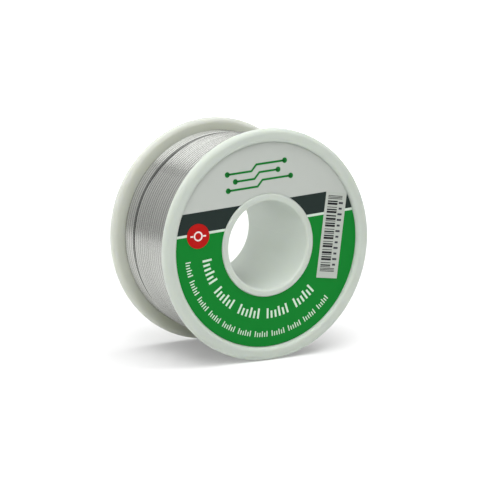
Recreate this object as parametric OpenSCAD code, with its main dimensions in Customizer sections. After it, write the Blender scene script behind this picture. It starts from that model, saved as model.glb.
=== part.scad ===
// Spool of 0.5 mm solder wire: two pressed-together plastic halves, the wound wire,
// a printed ring label, a round size sticker and a code sticker.
//
// Each piece is drawn as seen with the label towards you: x to the right, y up and
// z out of the label, along the spool's axis. stand_up() turns that frame so that
// the spool stands on its two rims, its axis along Y, its label towards -Y and +Z up.
// The origin is the middle of the spindle hole. All sizes are in millimetres.

/* [Flanges] */
// Outer diameter of both flanges
flange_d = 55; // [45:0.5:80]
// Width of the spool over both rims
overall_w = 30; // [24:0.5:60]
// Thickness of a flange at its rim bead
flange_t = 2.7; // [2.2:0.1:4]
// Width of the rim bead, measured along the radius
bead_w = 3.15; // [2.4:0.05:4]
// Rounding of the bead's outer edges
bead_edge_r = 1.25; // [0.4:0.05:1.3]
// Rounding of the bead's edge next to the label
bead_inner_r = 0.95; // [0.2:0.05:0.95]
// Depth of the label's face below the top of the bead
label_depth = 1; // [0.4:0.05:1.4]

/* [Hub] */
// Diameter of the spindle hole
bore_d = 21; // [12:0.1:26]
// Wall of the tube round the spindle hole
tube_wall = 1.5; // [1:0.1:2]
// Wall of the barrel that the wire is wound on
barrel_wall = 1.5; // [1:0.1:2]
// Width of the raised collar round the spindle hole
collar_w = 1.7; // [1.2:0.1:3]
// Depth of the collar's face below the top of the bead
collar_depth = 0.65; // [0.3:0.05:0.9]
// Rounding of the hole's two mouths
mouth_r = 0.6; // [0.2:0.05:0.8]
// Wall of each joint ring inside the hub
ring_wall = 1.1; // [0.8:0.1:1.5]
// Length over which the two joint rings overlap
joint_overlap = 8; // [4:0.5:12]
// Number of stiffening ribs in each half
rib_count = 6; // [3:1:8]
// Thickness of a rib
rib_t = 1; // [0.8:0.1:1.5]
// Clearance between the two halves where they are pressed together
fit_gap = 0.03; // [0.01:0.01:0.1]

/* [Wire] */
// Diameter of the solder wire
wire_d = 0.5; // [0.3:0.05:1]
// Number of layers wound on the barrel
wire_layers = 9; // [4:1:12]
// Height of the rim above the wound wire
rim_margin = 2.5; // [1:0.1:6]
// Width of the band of turns beside the rear flange
rear_band_w = 4.9; // [3:0.1:8]
// How much lower the rear band lies than the rest
rear_band_drop = 0.4; // [0.1:0.05:0.8]
// Width of the groove between the rear band and the rest
groove_w = 1.2; // [0.6:0.1:3]
// Depth of the groove below the layers that the rear band's outer turns lie on
groove_depth = 0.25; // [0.1:0.05:1]
// Clearance from the wound wire to the barrel and between its layers as modelled
wire_seat = 0.05; // [0.02:0.01:0.1]
// Gap between neighbouring loops of the outer layer as modelled
loop_gap = 0.5; // [0.41:0.01:1]
// Length of the straight free end
wire_end_len = 6; // [3:0.5:8]
// Place of the free end round the spool, in degrees up from the right-hand side
wire_end_angle = 20; // [-40:5:60]
// Diameter of the flux inside the wire
flux_d = 0.14; // [0.1:0.01:0.2]

/* [Label and stickers] */
// Thickness of the ring label
label_t = 0.12; // [0.08:0.01:0.2]
// Clearance from the label to the bead and to the collar
label_gap = 0.15; // [0.1:0.05:0.8]
// Thickness of both stickers
sticker_t = 0.1; // [0.06:0.01:0.2]
// Diameter of the round size sticker
dot_d = 5.8; // [3:0.1:7]
// How far outside the label's mid circle the round sticker sits
dot_offset = 0.6; // [-0.6:0.1:0.6]
// Place of the round sticker round the spool, in degrees
dot_angle = 169; // [90:1:180]
// Width of the code sticker
code_w = 5.7; // [3:0.1:6]
// How far inside the label's mid circle the code sticker sits
code_inset = 0.75; // [0:0.05:1]
// Place of the code sticker round the spool, in degrees
code_angle = 3; // [-20:1:20]
// Lean of the code sticker away from upright, in degrees
code_lean = 7.4; // [0:0.1:15]
// Clearance from the code sticker's corner to the label's outer edge
code_edge_gap = 0.05; // [0.02:0.01:0.5]

/* [Moulding marks] */
// Diameter of an ejector pin's mark on the rear web
ejector_d = 3; // [2:0.1:4]
// Depth of an ejector pin's mark
ejector_depth = 0.15; // [0.1:0.05:0.3]
// Number of ejector pin marks
ejector_count = 6; // [3:1:8]
// Diameter of the sprue's stub
gate_d = 1.4; // [1:0.1:2]
// Height of the sprue's stub
gate_h = 0.3; // [0.1:0.05:0.6]

/* [Hidden] */
$fn = 96;

// Flanges: heights along the axis from the middle of the spool, radii from the axis
flange_r = flange_d / 2;
half_w = overall_w / 2;
inner_face = half_w - flange_t;
recess_r = flange_r - bead_w;
web_face = half_w - label_depth - label_t;

// Hub
bore_r = bore_d / 2;
tube_r = bore_r + tube_wall;
collar_r = bore_r + collar_w;
collar_face = half_w - collar_depth;
collar_edge_r = 0.3;
winding_r = flange_r - rim_margin;
layer_rise = wire_d * sin(60);
barrel_r = winding_r - wire_d - (wire_layers - 1) * layer_rise;
barrel_in_r = barrel_r - barrel_wall;
joint_mid_r = (tube_r + barrel_in_r) / 2;
outer_ring_r = joint_mid_r + fit_gap / 2;
inner_ring_r = joint_mid_r - fit_gap / 2;
rib_setback = 2;
cut_margin = 1;

// Rear boss round the end of the tube
boss_hole_r = tube_r + fit_gap;
boss_wall = 1.4;
boss_r = boss_hole_r + boss_wall;

// Label and stickers
label_face = half_w - label_depth;
label_r = recess_r - label_gap;
label_hole_r = max(collar_r, tube_r) + label_gap / 2;
label_mid_r = (label_r + label_hole_r) / 2;
dot_r = min(label_mid_r + dot_offset, label_r - dot_d / 2);

// Code sticker: as long as fits from corner to corner inside the label's outer edge,
// and no closer to the axis than the label's hole. code_turn is its lean measured from
// the radius through its middle, and code_slant that lean either way.
code_turn = code_lean + code_angle;
code_slant = abs(code_turn);
code_r = max(label_mid_r - code_inset, (label_hole_r + code_w / 2) / cos(code_slant));
code_out = code_r + code_w / 2 * cos(code_slant);
code_along = code_w / 2 * sin(code_slant);
code_slope = code_out * sin(code_slant) - code_along * cos(code_slant);
code_reach = label_r - code_edge_gap;
code_reach_sq = pow(code_slope, 2) + pow(code_reach, 2) - pow(code_out, 2) - pow(code_along, 2);
code_len = 2 * (sqrt(code_reach_sq) - code_slope);

// Wound wire
wire_r = wire_d / 2;
groove_end = -inner_face + rear_band_w;
groove_start = groove_end + groove_w;
rear_band_r = winding_r - rear_band_drop;
loop_steps = 24;
loops_most = 24;
wire_sides = 6;
end_margin = 0.06;
front_from = inner_face - wire_r - end_margin;
front_to = groove_start + wire_r;
rear_from = groove_end - wire_r;
rear_to = -inner_face + wire_r + end_margin;
// On a wide spool the modelled loops stand further apart, so that there are few of them
loop_pitch_min = max(wire_d + loop_gap, (front_from - rear_to) / loops_most);
front_loops = floor((front_from - front_to) / loop_pitch_min);
rear_loops = floor((rear_from - rear_to) / loop_pitch_min);
loops = front_loops + 1 + rear_loops;
front_coil_r = winding_r - wire_r;
rear_coil_r = rear_band_r - wire_r;
// A straight step between two rings dips inside the coil's true circle
dip = cos(180 / loop_steps);
front_core_r = front_coil_r * dip - wire_r - wire_seat;
rear_core_r = rear_coil_r * dip - wire_r - wire_seat;
groove_r = rear_core_r - groove_depth;
groove_slope_w = groove_w / 3;

// The coil's turn count t runs from 0 beside the front flange to loops at the free end
function mix(a, b, share) = a + (b - a) * share;
function coil_z(t) =
    t < front_loops ? mix(front_from, front_to, t / front_loops)
    : t < front_loops + 1 ? mix(front_to, rear_from, t - front_loops)
    : mix(rear_from, rear_to, (t - front_loops - 1) / rear_loops);
function coil_r(t) = mix(front_coil_r, rear_coil_r, min(max(t - front_loops, 0), 1));
function coil_angle(t) = wire_end_angle + 360 * (t - loops);
function outwards(angle) = [cos(angle), sin(angle), 0];
function onwards(angle) = [-sin(angle), cos(angle), 0];
function coil_point(t) = coil_r(t) * outwards(coil_angle(t)) + [0, 0, coil_z(t)];

// Both ends run on straight for one wire diameter
ring_turns = [for (i = [0 : loops * loop_steps]) i / loop_steps];
ring_places = concat(
    [[coil_point(0) - wire_d * onwards(coil_angle(0)), coil_angle(0)]],
    [for (t = ring_turns) [coil_point(t), coil_angle(t)]],
    [[coil_point(loops) + wire_d * onwards(coil_angle(loops)), coil_angle(loops)]]
);
wire_end_start = ring_places[len(ring_places) - 1][0];

// Least distance between the centres of points about a whole turn apart
near_steps = 4;
near_turn = [for (k = [loop_steps - near_steps : loop_steps + near_steps]) k];
loop_distances = [
    for (i = [0 : len(ring_turns) - 1], k = near_turn)
    if (i + k < len(ring_turns)) norm(coil_point(ring_turns[i]) - coil_point(ring_turns[i + k]))
];
echo(loops = loops, least_gap_of_wire_to_itself = min(loop_distances) - wire_d);

module stand_up() {
    rotate([90, 0, 0]) children();
}

// The waste outside a rounded corner at (x, y) that points the way (sx, sy)
module corner_waste(x, y, r, sx, sy) {
    translate([x - sx * r, y - sy * r]) difference() {
        translate([sx > 0 ? 0 : -r - cut_margin, sy > 0 ? 0 : -r - cut_margin])
            square(r + cut_margin);
        circle(r);
    }
}

module ring_section(r_in, r_out, z_low, z_high) {
    translate([r_in, z_low]) square([r_out - r_in, z_high - z_low]);
}

// Section of one flange: the rim bead and the thin web inside it
module flange_section(hole_r) {
    difference() {
        ring_section(recess_r, flange_r, inner_face, half_w);
        corner_waste(flange_r, half_w, bead_edge_r, 1, 1);
        corner_waste(flange_r, inner_face, bead_edge_r, 1, -1);
        corner_waste(recess_r, half_w, bead_inner_r, -1, 1);
    }
    ring_section(hole_r, recess_r + bead_inner_r, inner_face, web_face);
}

// Stiffening ribs between a joint ring's wall and the barrel's, from low_z to the web
module ribs(from_r, low_z, turn) {
    rib_w = barrel_in_r + barrel_wall / 2 - from_r;
    for (i = [0 : rib_count - 1])
        rotate([0, 0, 360 * i / rib_count + turn])
            translate([from_r, -rib_t / 2, low_z])
                cube([rib_w, rib_t, web_face - low_z]);
}

// Front half: flange, full-length tube round the spindle hole, half of the barrel
// and the outer joint ring
module front_half() {
    stand_up() color("#dfe3d8") {
        rotate_extrude() {
            flange_section(tube_r - tube_wall / 2);
            difference() {
                union() {
                    ring_section(bore_r, tube_r, -collar_face, collar_face);
                    ring_section(tube_r - tube_wall / 2, collar_r, inner_face, collar_face);
                }
                corner_waste(bore_r, collar_face, mouth_r, -1, 1);
                corner_waste(bore_r, -collar_face, mouth_r, -1, -1);
                corner_waste(collar_r, collar_face, collar_edge_r, 1, 1);
            }
            ring_section(barrel_in_r, barrel_r, 0, web_face);
            ring_section(outer_ring_r, outer_ring_r + ring_wall, -joint_overlap / 2, web_face);
        }
        ribs(outer_ring_r + ring_wall / 2, rib_setback, 0);
    }
}

// Rear half: flange, the other half of the barrel, the inner joint ring and the boss
// that the tube's end sits in. Its ribs lie between the front ribs and stop clear of
// the outer joint ring.
module rear_half() {
    stand_up() mirror([0, 0, 1]) color("#d6dac8") {
        difference() {
            union() {
                rotate_extrude() {
                    flange_section(boss_hole_r);
                    difference() {
                        ring_section(boss_hole_r, boss_r, inner_face, collar_face);
                        corner_waste(boss_r, collar_face, collar_edge_r, 1, 1);
                    }
                    ring_section(barrel_in_r, barrel_r, 0, web_face);
                    ring_section(inner_ring_r - ring_wall, inner_ring_r, -joint_overlap / 2, web_face);
                }
                ribs(inner_ring_r - ring_wall / 2, joint_overlap / 2 + rib_setback, 180 / rib_count);
                gate_stub();
            }
            ejector_marks();
        }
    }
}

module ejector_marks() {
    for (i = [0 : ejector_count - 1])
        rotate([0, 0, 360 * (i + 0.5) / ejector_count])
            translate([label_mid_r, 0, web_face - ejector_depth])
                cylinder(d = ejector_d, h = ejector_depth + cut_margin);
}

module gate_stub() {
    rotate([0, 0, 90])
        translate([label_mid_r, 0, web_face - gate_h])
            cylinder(d = gate_d, h = 2 * gate_h);
}

// The wire's inner layers as one solid ring, with the groove in its surface
module wire_inner_layers() {
    low_r = barrel_r + wire_seat;
    stand_up() color("#9a9c9a") rotate_extrude() polygon([
        [low_r, -inner_face],
        [rear_core_r, -inner_face],
        [rear_core_r, groove_end],
        [groove_r, groove_end + groove_slope_w],
        [groove_r, groove_start - groove_slope_w],
        [front_core_r, groove_start],
        [front_core_r, inner_face],
        [low_r, inner_face]
    ]);
}

// The outer layer: one unbroken wire that winds back along the spool, steps down
// across the groove and ends in the rear band
module wire_outer_layer() {
    n = wire_sides;
    last = len(ring_places) - 1;
    points = [
        for (place = ring_places, s = [0 : n - 1])
        place[0] + wire_r * (cos(360 * s / n) * outwards(place[1]) + [0, 0, sin(360 * s / n)])
    ];
    walls = [
        for (i = [0 : last - 1], s = [0 : n - 1])
        let (a = i * n + s, b = i * n + (s + 1) % n)
        each [[a, b, b + n], [a, b + n, a + n]]
    ];
    start_cap = [for (s = [1 : n - 2]) [0, s + 1, s]];
    end_cap = [for (s = [1 : n - 2]) [last * n, last * n + s, last * n + s + 1]];
    stand_up() color("#c4c6c4") polyhedron(points = points, faces = concat(walls, start_cap, end_cap));
}

// Places its children at the wire's free end, with z along the wire
module at_wire_end() {
    translate(wire_end_start)
        rotate([0, 0, wire_end_angle])
            rotate([-90, 0, 0]) children();
}

// Straight free end of the wire, with the hole that its flux fills
module wire_end() {
    stand_up() color("#c4c6c4") at_wire_end() difference() {
        cylinder(d = wire_d, h = wire_end_len);
        translate([0, 0, -cut_margin])
            cylinder(d = flux_d, h = wire_end_len + 2 * cut_margin);
    }
}

module flux_core() {
    stand_up() color("#b98a3a") at_wire_end() cylinder(d = flux_d, h = wire_end_len);
}

// Printed paper ring on the front web
module ring_label() {
    stand_up() color("#187a31") translate([0, 0, web_face]) difference() {
        cylinder(r = label_r, h = label_t);
        translate([0, 0, -cut_margin]) cylinder(r = label_hole_r, h = label_t + 2 * cut_margin);
    }
}

// Round sticker for the wire size
module size_sticker() {
    stand_up() color("#b41e14")
        rotate([0, 0, dot_angle])
            translate([dot_r, 0, label_face])
                cylinder(d = dot_d, h = sticker_t);
}

// Code sticker, as long as its corners allow
module code_sticker() {
    stand_up() color("#e4e6e2")
        rotate([0, 0, code_angle])
            translate([code_r, 0, label_face])
                rotate([0, 0, -code_turn])
                    translate([-code_w / 2, -code_len / 2, 0])
                        cube([code_w, code_len, sticker_t]);
}

front_half();
rear_half();
wire_inner_layers();
wire_outer_layer();
wire_end();
flux_core();
ring_label();
size_sticker();
code_sticker();
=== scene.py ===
"""A spool of thin solder wire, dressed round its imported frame.

The spool stands on its two rims. Its axis is Y, the label faces -Y and +Z is up. The
origin is the middle of the spindle hole. Everything is in metres.
"""
import math

import bmesh
import bpy
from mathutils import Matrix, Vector


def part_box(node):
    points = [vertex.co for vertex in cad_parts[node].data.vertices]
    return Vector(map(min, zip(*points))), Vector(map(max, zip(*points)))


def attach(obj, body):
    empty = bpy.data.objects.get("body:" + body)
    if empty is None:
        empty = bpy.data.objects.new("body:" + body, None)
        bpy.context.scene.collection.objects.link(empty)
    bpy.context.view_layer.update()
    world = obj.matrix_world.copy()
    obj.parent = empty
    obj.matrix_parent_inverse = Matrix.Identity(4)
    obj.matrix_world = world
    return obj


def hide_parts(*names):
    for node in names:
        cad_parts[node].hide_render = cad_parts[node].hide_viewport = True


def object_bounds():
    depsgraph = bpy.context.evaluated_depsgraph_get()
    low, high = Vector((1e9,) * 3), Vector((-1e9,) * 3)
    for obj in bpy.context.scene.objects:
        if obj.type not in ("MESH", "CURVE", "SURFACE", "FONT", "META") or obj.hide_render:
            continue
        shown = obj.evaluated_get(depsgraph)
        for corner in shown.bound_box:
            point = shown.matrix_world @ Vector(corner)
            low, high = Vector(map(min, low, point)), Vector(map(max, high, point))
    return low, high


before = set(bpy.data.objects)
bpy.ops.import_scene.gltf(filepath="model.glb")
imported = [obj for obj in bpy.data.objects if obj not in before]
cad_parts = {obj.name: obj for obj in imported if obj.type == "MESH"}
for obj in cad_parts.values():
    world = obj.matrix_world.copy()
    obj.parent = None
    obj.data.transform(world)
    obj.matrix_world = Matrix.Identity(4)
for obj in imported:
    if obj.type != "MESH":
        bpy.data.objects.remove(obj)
cad_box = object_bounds()
MM = 0.001
ROOT = "root"


# Camera: a long lens at the spool's front left, a little above its middle.

CAMERA_AZIMUTH = math.radians(-29.075)
CAMERA_ELEVATION = math.radians(9.576)
CAMERA_DISTANCE = 480.4 * MM
CAMERA_LENS = 150
CAMERA_SENSOR = 36
CAMERA_SHIFT = (0.00244, -0.0075)
CAMERA_NEAR = 10 * MM

camera_back = Vector((
    math.sin(CAMERA_AZIMUTH) * math.cos(CAMERA_ELEVATION),
    -math.cos(CAMERA_AZIMUTH) * math.cos(CAMERA_ELEVATION),
    math.sin(CAMERA_ELEVATION),
))
bpy.ops.object.camera_add(location=CAMERA_DISTANCE * camera_back)
camera = bpy.context.object
camera.rotation_euler = camera_back.to_track_quat("Z", "Y").to_euler()
camera.data.lens = CAMERA_LENS
camera.data.sensor_width = CAMERA_SENSOR
camera.data.shift_x, camera.data.shift_y = CAMERA_SHIFT
camera.data.clip_start = CAMERA_NEAR
bpy.context.scene.camera = camera


# Spool plastic: both halves are injection moulded in milky natural plastic. Light sinks
# into it a little way, it has a satin skin, and the rear half is a creamier batch.

FRONT_PLASTIC = (0.557, 0.605, 0.553)
REAR_PLASTIC = (0.54, 0.56, 0.522)
PLASTIC_ROUGHNESS = 0.4
PLASTIC_GLOW = 0.8
FRONT_GLOW_DEPTH = 2 * MM
REAR_GLOW_DEPTH = 5 * MM
# Shares of that depth for red, green and blue light
GLOW_SHARES = (1, 1, 0.8)
CLOUD_DETAIL = 3
GRAIN_DETAIL = 2
GRAIN_STRENGTH = 0.5
ROUGHNESS_DRIFT = 0.08


def material(name):
    """A new material, with its nodes and its shader."""
    made = bpy.data.materials.new(name)
    made.use_nodes = True
    return made, made.node_tree, made.node_tree.nodes["Principled BSDF"]


def make_cloudy_group():
    """A colour that drifts between two tones, a drifting roughness and a fine grain."""
    group = bpy.data.node_groups.new("cloudy_surface", "ShaderNodeTree")
    for name, way, kind in (
        ("Colour", "INPUT", "NodeSocketColor"),
        ("Shade", "INPUT", "NodeSocketColor"),
        ("Cloud Scale", "INPUT", "NodeSocketFloat"),
        ("Grain Scale", "INPUT", "NodeSocketFloat"),
        ("Roughness", "INPUT", "NodeSocketFloat"),
        ("Roughness Drift", "INPUT", "NodeSocketFloat"),
        ("Colour", "OUTPUT", "NodeSocketColor"),
        ("Roughness", "OUTPUT", "NodeSocketFloat"),
        ("Grain", "OUTPUT", "NodeSocketFloat"),
    ):
        group.interface.new_socket(name, in_out=way, socket_type=kind)
    nodes, links = group.nodes, group.links
    given = nodes.new("NodeGroupInput")
    result = nodes.new("NodeGroupOutput")
    place = nodes.new("ShaderNodeTexCoord")
    clouds = nodes.new("ShaderNodeTexNoise")
    clouds.inputs["Detail"].default_value = CLOUD_DETAIL
    grain = nodes.new("ShaderNodeTexNoise")
    grain.inputs["Detail"].default_value = GRAIN_DETAIL
    tone = nodes.new("ShaderNodeMix")
    tone.data_type = "RGBA"
    drift = nodes.new("ShaderNodeMath")
    drift.operation = "MULTIPLY_ADD"
    links.new(place.outputs["Object"], clouds.inputs["Vector"])
    links.new(place.outputs["Object"], grain.inputs["Vector"])
    links.new(given.outputs["Cloud Scale"], clouds.inputs["Scale"])
    links.new(given.outputs["Grain Scale"], grain.inputs["Scale"])
    links.new(clouds.outputs["Fac"], tone.inputs["Factor"])
    links.new(given.outputs["Colour"], tone.inputs["A"])
    links.new(given.outputs["Shade"], tone.inputs["B"])
    links.new(clouds.outputs["Fac"], drift.inputs[0])
    links.new(given.outputs["Roughness Drift"], drift.inputs[1])
    links.new(given.outputs["Roughness"], drift.inputs[2])
    links.new(tone.outputs["Result"], result.inputs["Colour"])
    links.new(drift.outputs["Value"], result.inputs["Roughness"])
    links.new(grain.outputs["Fac"], result.inputs["Grain"])
    return group


cloudy_group = make_cloudy_group()


def cloudy_material(
    name, colour, roughness, cloud_scale, grain_scale, grain_depth, shade,
):
    """A colour that drifts towards its own darker shade, under a fine grain."""
    made, tree, shader = material(name)
    cloudy = tree.nodes.new("ShaderNodeGroup")
    cloudy.name = "cloudy"
    cloudy.node_tree = cloudy_group
    cloudy.inputs["Colour"].default_value = (*colour, 1)
    cloudy.inputs["Shade"].default_value = (*(c * shade for c in colour), 1)
    cloudy.inputs["Cloud Scale"].default_value = cloud_scale
    cloudy.inputs["Grain Scale"].default_value = grain_scale
    cloudy.inputs["Roughness"].default_value = roughness
    cloudy.inputs["Roughness Drift"].default_value = ROUGHNESS_DRIFT
    bump = tree.nodes.new("ShaderNodeBump")
    bump.inputs["Distance"].default_value = grain_depth
    bump.inputs["Strength"].default_value = GRAIN_STRENGTH
    tree.links.new(cloudy.outputs["Colour"], shader.inputs["Base Color"])
    tree.links.new(cloudy.outputs["Roughness"], shader.inputs["Roughness"])
    tree.links.new(cloudy.outputs["Grain"], bump.inputs["Height"])
    tree.links.new(bump.outputs["Normal"], shader.inputs["Normal"])
    return made, shader


def moulded_plastic(name, colour, glow_depth):
    """Milky plastic, into which light sinks by a given depth."""
    made, shader = cloudy_material(
        name, colour, PLASTIC_ROUGHNESS,
        cloud_scale=60, grain_scale=2500, grain_depth=0.01 * MM, shade=0.94,
    )
    shader.inputs["Subsurface Weight"].default_value = PLASTIC_GLOW
    shader.inputs["Subsurface Radius"].default_value = GLOW_SHARES
    shader.inputs["Subsurface Scale"].default_value = glow_depth
    return made


def dress(node, made):
    """Gives a CAD node its finish."""
    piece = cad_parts[node]
    piece.data.materials.clear()
    piece.data.materials.append(made)


milky_plastic = moulded_plastic("milky_plastic", FRONT_PLASTIC, FRONT_GLOW_DEPTH)
creamy_plastic = moulded_plastic("creamy_plastic", REAR_PLASTIC, REAR_GLOW_DEPTH)
dress("front_half", milky_plastic)
dress("rear_half", creamy_plastic)


# Solder wire: one length of 0.5 mm tin-lead wire, wound side by side in even layers. The
# top layer is drawn turn by turn. Before the rear band it dips into a groove, which is
# wider near the top, where the last turns ahead of it have sunk a layer.

WIRE_D = 0.5 * MM
WINDING_R = 25 * MM
TURN_PITCH = 0.503 * MM
REAR_TURN_DROP = 0.4 * MM
FLANGE_GAP = 0.06 * MM
TURN_STEPS = 96
WIRE_ROUNDING = 2
WIRE_CAPS = 2
WIRE_FREE_ANGLE = math.radians(20)
# Millimetres of place along the spool and of depth below the front's turns
GROOVE_TURNS = [
    (5.85, 0), (6.10, 0.43), (6.33, 0.88), (6.60, 1.29), (7.05, 1.50),
    (7.50, 1.27), (7.75, 0.85), (8.00, 0.42),
]
# Where the last turns ahead of the groove sink, in degrees round the axis from +X
SUNK_TURNS = 5
SUNK_DEPTH = 0.43 * MM
SUNK_MIDDLE = 95
SUNK_REACH = 50
SUNK_SHRINK = 0.72
SUNK_EASE = 12
GOLDEN = 0.618034
# How much of a turn's draw alternates from one turn to the next
TURN_ALTERNATION = 0.8
TURN_UNEVENNESS = 0.1 * MM
TURN_DULLNESS = 0.58
# Darkening of the turns down in the groove, which is painted shade
GROOVE_PAINTED_SHADE = 1
# Share of the colour left at full darkening, on dull turns and as painted shade
DARKEST_SHARE = 0.42
SOLDER_COLOUR = (0.585, 0.595, 0.565)
SOLDER_ROUGHNESS = 0.16

wire_low, wire_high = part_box("wire_inner_layers")
wire_r = WIRE_D / 2
first_turn_y = wire_low.y + wire_r + FLANGE_GAP
last_turn_y = wire_high.y - wire_r - FLANGE_GAP
front_turn_r = WINDING_R - wire_r


def spread_turns(from_y, to_y, drop):
    """Turns side by side from one place to another, as (place, radius) pairs."""
    length = to_y - from_y
    count = round(length / TURN_PITCH)
    return [(from_y + length * i / count, front_turn_r - drop) for i in range(count)]


groove_turns = [(y * MM, front_turn_r - depth * MM) for y, depth in GROOVE_TURNS]
turns = spread_turns(first_turn_y, groove_turns[0][0], 0)
groove_turn = len(turns)
turns += groove_turns
turns += spread_turns(groove_turns[-1][0], last_turn_y, REAR_TURN_DROP)[1:]
turns.append((last_turn_y, front_turn_r - REAR_TURN_DROP))
last_turn = len(turns) - 1


def turn_draw(turn):
    """A number from 0 to 1: every second turn has a high one, and all of them differ."""
    alternating = turn % 2
    drifting = turn * GOLDEN % 1
    return TURN_ALTERNATION * alternating + (1 - TURN_ALTERNATION) * drifting


def turn_radius(turn):
    """A turn lies a little off the even layer, apart from the last ones."""
    uneven = TURN_UNEVENNESS * (turn_draw(turn) - 0.5) * (turn < last_turn - 1)
    return turns[turn][1] + uneven


def ease(share):
    """A smooth rise from 0 to 1."""
    share = min(max(share, 0), 1)
    return share * share * (3 - 2 * share)


def sunk(turn, angle):
    """How far a turn ahead of the groove sinks: the nearer ones over a longer arc."""
    ahead = groove_turn - turn
    if not 0 <= ahead < SUNK_TURNS:
        return 0
    off_middle = abs((math.degrees(angle) - SUNK_MIDDLE + 180) % 360 - 180)
    reach = SUNK_REACH * SUNK_SHRINK ** ahead
    return SUNK_DEPTH * ease((reach - off_middle) / SUNK_EASE + 0.5)


def wire_point(step):
    """Centre of the wire, counted in steps from beside the front flange."""
    turn, part = divmod(step, TURN_STEPS)
    share = part / TURN_STEPS
    onward = min(turn + 1, last_turn)
    angle = WIRE_FREE_ANGLE + 2 * math.pi * (share + turn - last_turn)
    y = turns[turn][0] + (turns[onward][0] - turns[turn][0]) * share
    r_here = turn_radius(turn) - sunk(turn, angle)
    r_onward = turn_radius(onward) - sunk(onward, angle)
    r = r_here + (r_onward - r_here) * share
    return Vector((r * math.cos(angle), y, r * math.sin(angle)))


def sweep_wire(name, points):
    """One unbroken round wire along the points, as a mesh with closed ends."""
    line = bpy.data.curves.new(name, "CURVE")
    line.dimensions = "3D"
    spline = line.splines.new("POLY")
    spline.points.add(len(points) - 1)
    for spot, point in zip(spline.points, points):
        spot.co = (*point, 1)
    line.bevel_depth = wire_r
    line.bevel_resolution = WIRE_ROUNDING
    line.use_fill_caps = True
    wire = bpy.data.objects.new(name, line)
    bpy.context.collection.objects.link(wire)
    bpy.ops.object.select_all(action="DESELECT")
    bpy.context.view_layer.objects.active = wire
    wire.select_set(True)
    bpy.ops.object.convert(target="MESH")
    bpy.ops.object.shade_smooth()
    return bpy.context.object


def turn_darkening(turn):
    """Groove turns are darkest, as painted shade; elsewhere every second turn is duller.
    """
    if groove_turn < turn < groove_turn + len(groove_turns) - 1:
        return GROOVE_PAINTED_SHADE
    return TURN_DULLNESS * turn_draw(turn)


def mark_turn_darkening(wire, point_count):
    """Stores how dark each turn is made: dull turns, and painted shade in the groove.

    The mesh has its end caps first, then a ring of vertices for each point.
    """
    darkening = wire.data.attributes.new("darkening", "FLOAT", "POINT")
    sides = len(wire.data.vertices) // (point_count + WIRE_CAPS)
    for vertex in wire.data.vertices:
        turn = max(vertex.index // sides - WIRE_CAPS, 0) // TURN_STEPS
        darkening.data[vertex.index].value = turn_darkening(turn)


def solder(name, colour):
    """Drawn tin-lead wire: bright and soft, each turn dulled a little."""
    made, shader = cloudy_material(
        name, colour, SOLDER_ROUGHNESS,
        cloud_scale=120, grain_scale=3000, grain_depth=0.001 * MM, shade=0.92,
    )
    shader.inputs["Metallic"].default_value = 1
    nodes, links = made.node_tree.nodes, made.node_tree.links
    darkening = nodes.new("ShaderNodeAttribute")
    darkening.attribute_name = "darkening"
    # The darker mix gives the dull turns, and the painted shade on the groove turns
    darkened = nodes.new("ShaderNodeMix")
    darkened.data_type = "RGBA"
    darkened.inputs["B"].default_value = (*(c * DARKEST_SHARE for c in colour), 1)
    links.new(darkening.outputs["Fac"], darkened.inputs["Factor"])
    links.new(nodes["cloudy"].outputs["Colour"], darkened.inputs["A"])
    links.new(darkened.outputs["Result"], shader.inputs["Base Color"])
    return made


free_way = Vector((-math.sin(WIRE_FREE_ANGLE), 0, math.cos(WIRE_FREE_ANGLE)))
wire_points = [wire_point(i) for i in range(last_turn * TURN_STEPS + 1)]
wire_points.append(wire_points[-1] + WIRE_D * free_way)
solder_material = solder("solder_wire", SOLDER_COLOUR)
top_layer = sweep_wire("wound_wire_top_layer", wire_points)
mark_turn_darkening(top_layer, len(wire_points))
top_layer.data.materials.append(solder_material)
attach(top_layer, ROOT)
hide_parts("wire_outer_layer")


# Lower layers: the same wire beneath the top layer, seen only down in the groove. It is a
# ring with a ridge for each turn, whose surface follows the top layer one layer down. Its
# colour is the wire's, darkened as painted shade.

# Wires lie in the hollows of the layer below, at the corners of even triangles
LAYER_RISE = WIRE_D * math.sin(math.radians(60))
RIDGE_POINTS = 4
RING_STEPS = 96
BARREL_R = 21.09 * MM
WELD_GAP = 0.001 * MM
# The lower layers' colour is darkened, as painted shade down in the groove
LOWER_PAINTED_SHADE = 0.7


def lower_outline():
    """The ring's section as (radius, place): the barrel side, then the ridges."""
    top_angle = math.radians(SUNK_MIDDLE)
    tops = [(y, r - LAYER_RISE - sunk(i, top_angle)) for i, (y, r) in enumerate(turns)]
    ridges = []
    for (y0, r0), (y1, r1) in zip(tops, tops[1:]):
        for i in range(RIDGE_POINTS):
            share = i / RIDGE_POINTS
            ridge = wire_r * math.sin(math.pi * share)
            ridges.append((r0 + (r1 - r0) * share + ridge, y0 + (y1 - y0) * share))
    start = [(BARREL_R, wire_high.y), (BARREL_R, wire_low.y), (ridges[0][0], wire_low.y)]
    return start + ridges + [(ridges[-1][0], wire_high.y)]


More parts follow.
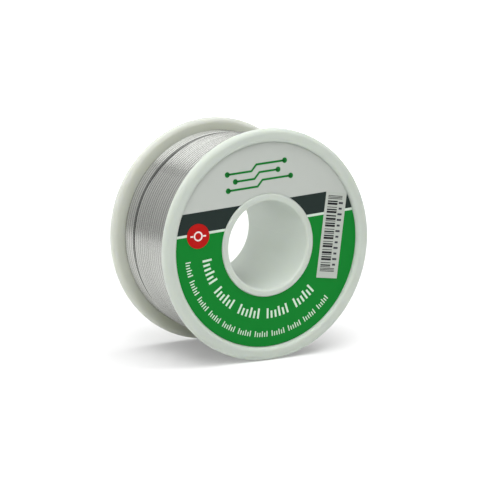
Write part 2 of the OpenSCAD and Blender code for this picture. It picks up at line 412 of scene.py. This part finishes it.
def spin_outline(name, outline):
    """A ring turned from a closed outline of (radius, place) pairs."""
    bpy.ops.object.select_all(action="DESELECT")
    bpy.ops.mesh.primitive_circle_add(vertices=len(outline), radius=1)
    ring = bpy.context.object
    ring.name = name
    for vertex, (r, y) in zip(ring.data.vertices, outline):
        vertex.co = (r, y, 0)
    bpy.ops.object.mode_set(mode="EDIT")
    bpy.ops.mesh.select_all(action="SELECT")
    bpy.ops.mesh.spin(
        steps=RING_STEPS, angle=2 * math.pi, center=(0, 0, 0), axis=(0, 1, 0),
    )
    bpy.ops.mesh.select_all(action="SELECT")
    bpy.ops.mesh.remove_doubles(threshold=WELD_GAP)
    bpy.ops.mesh.normals_make_consistent(inside=False)
    bpy.ops.object.mode_set(mode="OBJECT")
    bpy.ops.object.shade_smooth()
    return ring


lower_shaded_colour = tuple(LOWER_PAINTED_SHADE * c for c in SOLDER_COLOUR)
lower_layers = spin_outline("wound_wire_lower_layers", lower_outline())
lower_layers.data.materials.append(solder("solder_wire_below_shaded", lower_shaded_colour))
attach(lower_layers, ROOT)
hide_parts("wire_inner_layers")


# Free end: the last turn leaves the winding straight, for a few millimetres. Its cut
# shows the amber flux that runs inside the wire.

FLUX_COLOUR = (0.45, 0.26, 0.07)
FLUX_ROUGHNESS = 0.2

dress("wire_end", solder_material)
amber_flux, _ = cloudy_material(
    "amber_flux", FLUX_COLOUR, FLUX_ROUGHNESS,
    cloud_scale=2000, grain_scale=9000, grain_depth=0.002 * MM, shade=0.85,
)
dress("flux_core", amber_flux)


# Ring label: printed paper glued on the front web. Its print is silver grey at the top,
# then a dark band, a pale line and green, all turned a little.


def srgb(red, green, blue):
    """A colour named by its three screen values, as a shader takes it."""
    return tuple(((c / 255 + 0.055) / 1.055) ** 2.4 for c in (red, green, blue))


LABEL_TURN = math.radians(4)
BAND_TOP = 10.4 * MM
BAND_FOOT = 5.6 * MM
LINE_FOOT = 5.0 * MM
LABEL_EDGES = (BAND_TOP, BAND_FOOT, LINE_FOOT)
LABEL_SIDES = 192
LABEL_HOLE_R = 12.275 * MM
# The inks from the top down
LABEL_INKS = (
    ("silver_print", srgb(188, 193, 187)),
    ("dark_print", srgb(33, 45, 42)),
    ("pale_print", srgb(205, 219, 206)),
    ("green_print", srgb(0, 124, 40)),
)
PRINT_ROUGHNESS = 0.42
PRINT_SPECULAR = 0.12
FACING_FRONT = (math.pi / 2, 0, 0)

# The code sticker's lean and its width in millimetres. Above it the print stays grey,
# right across the band.
CODE_LEAN = math.radians(7.4)
CODE_W = 5.7

label_low, label_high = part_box("ring_label")
label_up = Vector((-math.sin(LABEL_TURN), 0, math.cos(LABEL_TURN)))
code_low, code_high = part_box("code_sticker")
code_middle = (code_low + code_high) / 2
code_across = Vector((math.cos(CODE_LEAN), 0, -math.sin(CODE_LEAN)))
code_reach = CODE_W * MM / 2


def print_material(name, colour):
    """Ink on coated paper: even, a little glossy."""
    made, shader = cloudy_material(
        name, colour, PRINT_ROUGHNESS,
        cloud_scale=90, grain_scale=1800, grain_depth=0.006 * MM, shade=0.97,
    )
    shader.inputs["Specular IOR Level"].default_value = PRINT_SPECULAR
    return made


def edit_all(piece):
    """Opens the piece in edit mode with all of it selected, and nothing else."""
    bpy.ops.object.select_all(action="DESELECT")
    bpy.context.view_layer.objects.active = piece
    piece.select_set(True)
    bpy.ops.object.mode_set(mode="EDIT")
    bpy.ops.mesh.select_all(action="SELECT")


def cut(place, square_to):
    """Cuts the open mesh along the plane through a place, square to a direction."""
    bpy.ops.mesh.select_all(action="SELECT")
    bpy.ops.mesh.bisect(plane_co=place, plane_no=square_to)


def over_code(point):
    """Whether a point on the label is in the strip above the code sticker."""
    off = point - code_middle
    return off.z > 0 and abs(off.dot(code_across)) < code_reach


def thicken(piece, thickness, offset):
    """Gives a flat piece its thickness: offset 1 builds it up on its face, -1 down."""
    sheet = piece.modifiers.new("sheet", "SOLIDIFY")
    sheet.thickness = thickness
    sheet.offset = offset
    bpy.ops.object.modifier_apply(modifier=sheet.name)


def make_label():
    """The label as a ring, cut where one ink meets the next."""
    bpy.ops.object.select_all(action="DESELECT")
    bpy.ops.mesh.primitive_circle_add(
        vertices=LABEL_SIDES, radius=label_high.x, fill_type="NGON",
        location=(0, label_low.y, 0), rotation=FACING_FRONT,
    )
    label = bpy.context.object
    label.name = "printed_ring_label"
    bpy.ops.object.transform_apply(location=True, rotation=True, scale=True)
    edit_all(label)
    bpy.ops.mesh.inset(thickness=label_high.x - LABEL_HOLE_R)
    bpy.ops.mesh.delete(type="FACE")
    for edge in LABEL_EDGES:
        cut(edge * label_up, label_up)
    for way in (-1, 1):
        cut(code_middle + way * code_reach * code_across, code_across)
    bpy.ops.object.mode_set(mode="OBJECT")
    for name, colour in LABEL_INKS:
        label.data.materials.append(print_material(name, colour))
    for face in label.data.polygons:
        height = face.center.dot(label_up)
        if not over_code(face.center):
            face.material_index = sum(height < edge for edge in LABEL_EDGES)
    thicken(label, label_high.y - label_low.y, -1)
    return label


label = make_label()
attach(label, ROOT)
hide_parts("ring_label")


# Print on the label's green: two arcs of pale strokes. A group of tall and short ones is
# drawn once and repeated round the arc.

INK_T = 0.015 * MM
STROKE_COLOUR = srgb(206, 226, 208)
# Which strokes of a group are tall
STROKE_PATTERN = (True, False, False, True, False, True)
# Lengths in millimetres and angles in degrees
LARGE_STROKES = {
    "foot_r": 17.5, "tall": 2.4, "short": 1.75, "width": 0.5,
    "first": 188, "spacing": 3.7, "groups": 5, "group_step": 27.3,
}
SMALL_STROKES = {
    "foot_r": 21.9, "tall": 1.35, "short": 1.0, "width": 0.26,
    "first": 186.5, "spacing": 1.72, "groups": 11, "group_step": 12.4,
}


def start_print(name):
    """An empty flat piece, opened in edit mode. It is drawn in X and Z, facing -Y."""
    bpy.ops.object.select_all(action="DESELECT")
    bpy.ops.object.add(type="MESH", enter_editmode=True)
    bpy.context.object.name = name


def draw_bar(x, z, width, height):
    """A flat bar with its middle at (x, z). Print is drawn in millimetres."""
    middle = (x * MM, 0, z * MM)
    bpy.ops.mesh.primitive_plane_add(size=MM, location=middle, rotation=FACING_FRONT)
    bpy.ops.transform.resize(value=(width, 1, height), center_override=middle)


def draw_disc(x, z, radius, sides):
    """A flat disc with its middle at (x, z)."""
    bpy.ops.mesh.primitive_circle_add(
        vertices=sides, radius=radius * MM, fill_type="NGON",
        location=(x * MM, 0, z * MM), rotation=FACING_FRONT,
    )


def finish_print(made, place, turn=0):
    """Lays the drawn piece at a place, turned anticlockwise, and thickens it to ink."""
    bpy.ops.object.mode_set(mode="OBJECT")
    piece = bpy.context.object
    piece.location = place
    piece.rotation_euler = (0, -turn, 0)
    bpy.ops.object.transform_apply(location=True, rotation=True, scale=True)
    thicken(piece, INK_T, 1)
    piece.data.materials.append(made)
    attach(piece, ROOT)


def draw_strokes(foot_r, tall, short, width, first, spacing, groups, group_step):
    """One group of strokes with their feet on an arc, and its copies along the arc."""
    for i, is_tall in enumerate(STROKE_PATTERN):
        height = tall if is_tall else short
        draw_bar(foot_r - height / 2, 0, height, width)
        bpy.ops.transform.rotate(
            value=math.radians(first + i * spacing),
            orient_axis="Y", center_override=(0, 0, 0),
        )
    bpy.ops.mesh.select_all(action="SELECT")
    bpy.ops.mesh.spin(
        steps=groups - 1, dupli=True, angle=math.radians((groups - 1) * group_step),
        center=(0, 0, 0), axis=(0, 1, 0),
    )


label_front = (0, label_low.y, 0)
stroke_print = print_material("stroke_print", STROKE_COLOUR)
for name, strokes in (
    ("label_strokes_large", LARGE_STROKES),
    ("label_strokes_small", SMALL_STROKES),
):
    start_print(name)
    draw_strokes(**strokes)
    finish_print(stroke_print, label_front)


# Print on the label's grey: three green circuit tracks, each with one slanted step and a
# round pad at both ends.

TRACK_COLOUR = srgb(22, 118, 46)
TRACK_W = 0.5
TRACK_STEP = 1.4
STEP_SLANT = math.radians(45)
PAD_R = 0.66
PAD_SIDES = 24
# Where each track starts, in x and z, and its length before and after the step
TRACKS = [
    (-9.6, 14.2, 7.8, 7.6),
    (-7.6, 16.1, 5.1, 5.0),
    (-9.6, 18.0, 6.4, 7.6),
]


def draw_track(x, z, before, after):
    """A flat track as pairs of points across it, leaned so that it keeps its width."""
    stations = [
        (x, z),
        (x + before, z),
        (x + before + TRACK_STEP, z + TRACK_STEP),
        (x + before + TRACK_STEP + after, z + TRACK_STEP),
    ]
    lean = TRACK_W / 2 * math.tan(STEP_SLANT / 2)
    mesh = bmesh.from_edit_mesh(bpy.context.object.data)
    pairs = []
    for at_x, at_z in stations:
        ways = ((at_x - way * lean, at_z + way * TRACK_W / 2) for way in (-1, 1))
        pairs.append([mesh.verts.new((px * MM, 0, pz * MM)) for px, pz in ways])
    for (foot, top), (next_foot, next_top) in zip(pairs, pairs[1:]):
        mesh.faces.new((foot, next_foot, next_top, top))
    bmesh.update_edit_mesh(bpy.context.object.data)
    draw_disc(*stations[0], PAD_R, PAD_SIDES)
    draw_disc(*stations[-1], PAD_R, PAD_SIDES)


start_print("label_tracks")
for track in TRACKS:
    draw_track(*track)
track_print = print_material("track_print", TRACK_COLOUR)
finish_print(track_print, label_front, LABEL_TURN)


# Size sticker: a red paper disc with a white sign for a wire's thickness printed on it, a
# ring between two short lines.

DOT_COLOUR = srgb(180, 14, 8)
SIGN_COLOUR = srgb(236, 230, 224)
SIGN_RING_R = 1.15
SIGN_RING_W = 0.34
SIGN_LINE_LENGTH = 0.75
SIGN_LINE_W = 0.34
SIGN_LINE_GAP = 0.12
SIGN_SIDES = 32

dress("size_sticker", print_material("red_print", DOT_COLOUR))
dot_low, dot_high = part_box("size_sticker")
dot_middle = (dot_low + dot_high) / 2
line_middle = SIGN_RING_R + SIGN_LINE_GAP + SIGN_LINE_LENGTH / 2
start_print("size_sign")
draw_disc(0, 0, SIGN_RING_R, SIGN_SIDES)
bpy.ops.mesh.inset(thickness=SIGN_RING_W * MM)
bpy.ops.mesh.delete(type="FACE")
for way in (-1, 1):
    draw_bar(way * line_middle, 0, SIGN_LINE_LENGTH, SIGN_LINE_W)
sign_print = print_material("sign_print", SIGN_COLOUR)
finish_print(sign_print, (dot_middle.x, dot_low.y, dot_middle.z))


# Code sticker: silver paper with bars printed across it and a column of small marks. The
# bars' widths and the marks' lengths follow a formula and stand for no number.

CODE_END_GAP = 2.2
CODE_RISE = 0.4
BAR_MIDDLE = -0.8
BAR_LENGTH = 2.75
BAR_UNIT = 0.165
# How many widths a bar and a gap can have, and how far the gaps' draws run ahead
BAR_WIDTHS = 3
GAP_WIDTHS = 2.6
GAP_LEAD = 3
END_BAR_MIDDLE = -0.2
END_BAR_LENGTH = 3.95
END_BAR_COUNT = 3
MARK_X = 1.5
MARK_LENGTHS = (0.85, 1.2)
MARK_W = 0.48
MARK_COUNT = 12
STICKER_COLOUR = srgb(184, 190, 182)
BAR_COLOUR = srgb(32, 33, 36)
MARK_COLOUR = srgb(62, 63, 70)

dress("code_sticker", print_material("sticker_paper", STICKER_COLOUR))
code_height = (code_high.z - code_low.z) / MM
code_len = (code_height - CODE_W * math.sin(CODE_LEAN)) / math.cos(CODE_LEAN)
code_end = code_len / 2 - CODE_END_GAP
code_front = (code_middle.x, code_low.y, code_middle.z)


def draw_code_bars():
    """Bars up the sticker, and longer thin ones past both ends of them."""
    at = -code_end
    number = 0
    while at < code_end:
        width = BAR_UNIT * (1 + int(BAR_WIDTHS * (number * GOLDEN % 1)))
        gap_draw = (number + GAP_LEAD) * GOLDEN * GOLDEN % 1
        gap = BAR_UNIT * (1 + int(GAP_WIDTHS * gap_draw))
        draw_bar(BAR_MIDDLE, CODE_RISE + at + width / 2, BAR_LENGTH, width)
        at += width + gap
        number += 1
    for way in (-1, 1):
        for i in range(END_BAR_COUNT):
            z = CODE_RISE + way * (at + (2 * i + 1) * BAR_UNIT)
            draw_bar(END_BAR_MIDDLE, z, END_BAR_LENGTH, BAR_UNIT)


def draw_code_marks():
    """Small marks in a column beside the bars, evenly spaced."""
    for i in range(MARK_COUNT):
        length = MARK_LENGTHS[int(len(MARK_LENGTHS) * (i * GOLDEN % 1))]
        z = CODE_RISE + code_end * ((2 * i + 1) / MARK_COUNT - 1)
        draw_bar(MARK_X, z, length, MARK_W)


for name, draw, made in (
    ("code_bars", draw_code_bars, print_material("black_print", BAR_COLOUR)),
    ("code_marks", draw_code_marks, print_material("grey_print", MARK_COLOUR)),
):
    start_print(name)
    draw()
    finish_print(made, code_front, -CODE_LEAN)


# Studio: a white floor that runs out to a white backdrop, under four soft lights. The one
# behind shines into the spindle hole and casts no shadow. A ring of grey cloth with a
# dark hem and a white sheet overhead show only in shiny wire.

FLOOR_SIZE = 12
FLOOR_COLOUR = (0.8, 0.8, 0.8)
FLOOR_ROUGHNESS = 0.9
FLOOR_SPECULAR = 0.1
# The floor's own glow for the camera, and the distances over which it rises to white
FLOOR_LIFT = 0.1
SWEEP_FROM = 0.12
SWEEP_TO = 0.45
WORLD_LEVEL = 0.05
CLOTH_R = 0.5
CLOTH_H = 0.84
CLOTH_STEPS = 48
SHEET_Z = 1.6
SHEET_SIZE = 3
# Brightness of the cloth at shares of its height, with a dark hem, and of the sheet
CLOTH_LEVELS = [
    (0, 0.54), (0.37, 0.72), (0.6, 0.76), (0.74, 0.95), (0.84, 0.35), (1, 0.2),
]
SHEET_LEVEL = 2.15

floor_z = cad_box[0].z
bpy.context.scene.view_settings.view_transform = "Standard"


def seen_or_mirrored(tree):
    """1 for what the camera sees, straight or in something shiny or clear."""
    path = tree.nodes.new("ShaderNodeLightPath")
    most = path.outputs["Is Camera Ray"]
    for way in ("Is Glossy Ray", "Is Transmission Ray"):
        either = tree.nodes.new("ShaderNodeMath")
        either.operation = "MAXIMUM"
        tree.links.new(most, either.inputs[0])
        tree.links.new(path.outputs[way], either.inputs[1])
        most = either.outputs["Value"]
    return most


def make_floor():
    """The floor under the rims, which glows more the farther out it is."""
    bpy.ops.object.select_all(action="DESELECT")
    bpy.ops.mesh.primitive_plane_add(size=FLOOR_SIZE, location=(0, 0, floor_z))
    floor = bpy.context.object
    floor.name = "floor"
    made, tree, shader = material("white_floor")
    nodes, links = tree.nodes, tree.links
    shader.inputs["Roughness"].default_value = FLOOR_ROUGHNESS
    shader.inputs["Specular IOR Level"].default_value = FLOOR_SPECULAR
    place = nodes.new("ShaderNodeTexCoord")
    away = nodes.new("ShaderNodeVectorMath")
    away.operation = "LENGTH"
    sweep = nodes.new("ShaderNodeMapRange")
    sweep.interpolation_type = "SMOOTHSTEP"
    sweep.inputs["From Min"].default_value = SWEEP_FROM
    sweep.inputs["From Max"].default_value = SWEEP_TO
    sweep.inputs["To Min"].default_value = FLOOR_LIFT
    # In shiny wire the floor's colour fades as its glow comes up, so it shows white
    path = nodes.new("ShaderNodeLightPath")
    mirrored = nodes.new("ShaderNodeMath")
    mirrored.operation = "MULTIPLY"
    fade = nodes.new("ShaderNodeMix")
    fade.data_type = "RGBA"
    fade.inputs["A"].default_value = (*FLOOR_COLOUR, 1)
    fade.inputs["B"].default_value = (0, 0, 0, 1)
    links.new(sweep.outputs["Result"], mirrored.inputs[0])
    links.new(path.outputs["Is Glossy Ray"], mirrored.inputs[1])
    links.new(mirrored.outputs["Value"], fade.inputs["Factor"])
    links.new(fade.outputs["Result"], shader.inputs["Base Color"])
    share = nodes.new("ShaderNodeMath")
    share.operation = "MULTIPLY"
    links.new(place.outputs["Object"], away.inputs[0])
    links.new(away.outputs["Value"], sweep.inputs["Value"])
    links.new(sweep.outputs["Result"], share.inputs[0])
    links.new(seen_or_mirrored(tree), share.inputs[1])
    shader.inputs["Emission Color"].default_value = (1, 1, 1, 1)
    links.new(share.outputs["Value"], shader.inputs["Emission Strength"])
    floor.data.materials.append(made)


def soft_light(name, place, size, watts, casts_shadow=True):
    """A square soft light that looks at the spool and doesn't show in shiny things."""
    bpy.ops.object.light_add(type="AREA", location=place)
    lamp = bpy.context.object
    lamp.name = name
    lamp.rotation_euler = Vector(place).to_track_quat("Z", "Y").to_euler()
    lamp.data.size = size
    lamp.data.energy = watts
    lamp.data.use_shadow = casts_shadow
    lamp.visible_camera = False
    lamp.visible_glossy = False


def glowing_cloth(name, level):
    """Cloth that glows at one level all over."""
    made, _, shader = material(name)
    shader.inputs["Base Color"].default_value = (0, 0, 0, 1)
    shader.inputs["Specular IOR Level"].default_value = 0
    shader.inputs["Emission Color"].default_value = (1, 1, 1, 1)
    shader.inputs["Emission Strength"].default_value = level
    return made


def ring_cloth():
    """Cloth whose glow changes with its height."""
    made = glowing_cloth("grey_cloth", 1)
    tree = made.node_tree
    shader = tree.nodes["Principled BSDF"]
    place = tree.nodes.new("ShaderNodeTexCoord")
    height = tree.nodes.new("ShaderNodeSeparateXYZ")
    share = tree.nodes.new("ShaderNodeMapRange")
    share.inputs["From Min"].default_value = floor_z
    share.inputs["From Max"].default_value = floor_z + CLOTH_H
    tones = tree.nodes.new("ShaderNodeValToRGB")
    stops = tones.color_ramp.elements
    for stop, (at, level) in zip(stops, (CLOTH_LEVELS[0], CLOTH_LEVELS[-1])):
        stop.position = at
        stop.color = (level, level, level, 1)
    for at, level in CLOTH_LEVELS[1:-1]:
        stops.new(at).color = (level, level, level, 1)
    tree.links.new(place.outputs["Object"], height.inputs["Vector"])
    tree.links.new(height.outputs["Z"], share.inputs["Value"])
    tree.links.new(share.outputs["Result"], tones.inputs["Fac"])
    tree.links.new(tones.outputs["Color"], shader.inputs["Emission Color"])
    return made


def show_in_wire_only(name, made):
    """Names and dresses the active piece, and hides it from all but mirrored rays."""
    piece = bpy.context.object
    piece.name = name
    bpy.ops.object.transform_apply(location=True, rotation=True, scale=True)
    piece.data.materials.append(made)
    piece.visible_camera = False
    piece.visible_diffuse = False
    piece.visible_shadow = False
    piece.visible_transmission = False


def hang_cloth():
    """The ring of cloth round the spool and the sheet above it."""
    bpy.ops.object.select_all(action="DESELECT")
    bpy.ops.mesh.primitive_cylinder_add(
        vertices=CLOTH_STEPS, radius=CLOTH_R, depth=CLOTH_H, end_fill_type="NOTHING",
        location=(0, 0, floor_z + CLOTH_H / 2),
    )
    show_in_wire_only("cloth_ring", ring_cloth())
    bpy.ops.object.select_all(action="DESELECT")
    bpy.ops.mesh.primitive_plane_add(size=SHEET_SIZE, location=(0, 0, SHEET_Z))
    show_in_wire_only("sheet_overhead", glowing_cloth("white_cloth", SHEET_LEVEL))


def light_world():
    """Even light from all round, which the camera sees as white."""
    world = bpy.data.worlds.new("studio")
    bpy.context.scene.world = world
    world.use_nodes = True
    tree = world.node_tree
    glow = tree.nodes["Background"]
    glow.inputs["Color"].default_value = (1, 1, 1, 1)
    glow.inputs["Strength"].default_value = WORLD_LEVEL
    seen = tree.nodes.new("ShaderNodeBackground")
    seen.inputs["Color"].default_value = (1, 1, 1, 1)
    mix = tree.nodes.new("ShaderNodeMixShader")
    tree.links.new(seen_or_mirrored(tree), mix.inputs["Fac"])
    tree.links.new(glow.outputs["Background"], mix.inputs[1])
    tree.links.new(seen.outputs["Background"], mix.inputs[2])
    tree.links.new(mix.outputs["Shader"], tree.nodes["World Output"].inputs["Surface"])


make_floor()
hang_cloth()
light_world()
soft_light("light_above", place=(0, -0.05, 0.97), size=1.1, watts=10.7)
soft_light("light_right", place=(0.66, -0.37, 0.95), size=0.5, watts=2.5)
soft_light("light_left", place=(-0.45, -0.75, 0.7), size=0.7, watts=5.8)
soft_light(
    "light_behind", place=(-0.66, 0.79, 0.3), size=0.7, watts=7.5, casts_shadow=False,
)
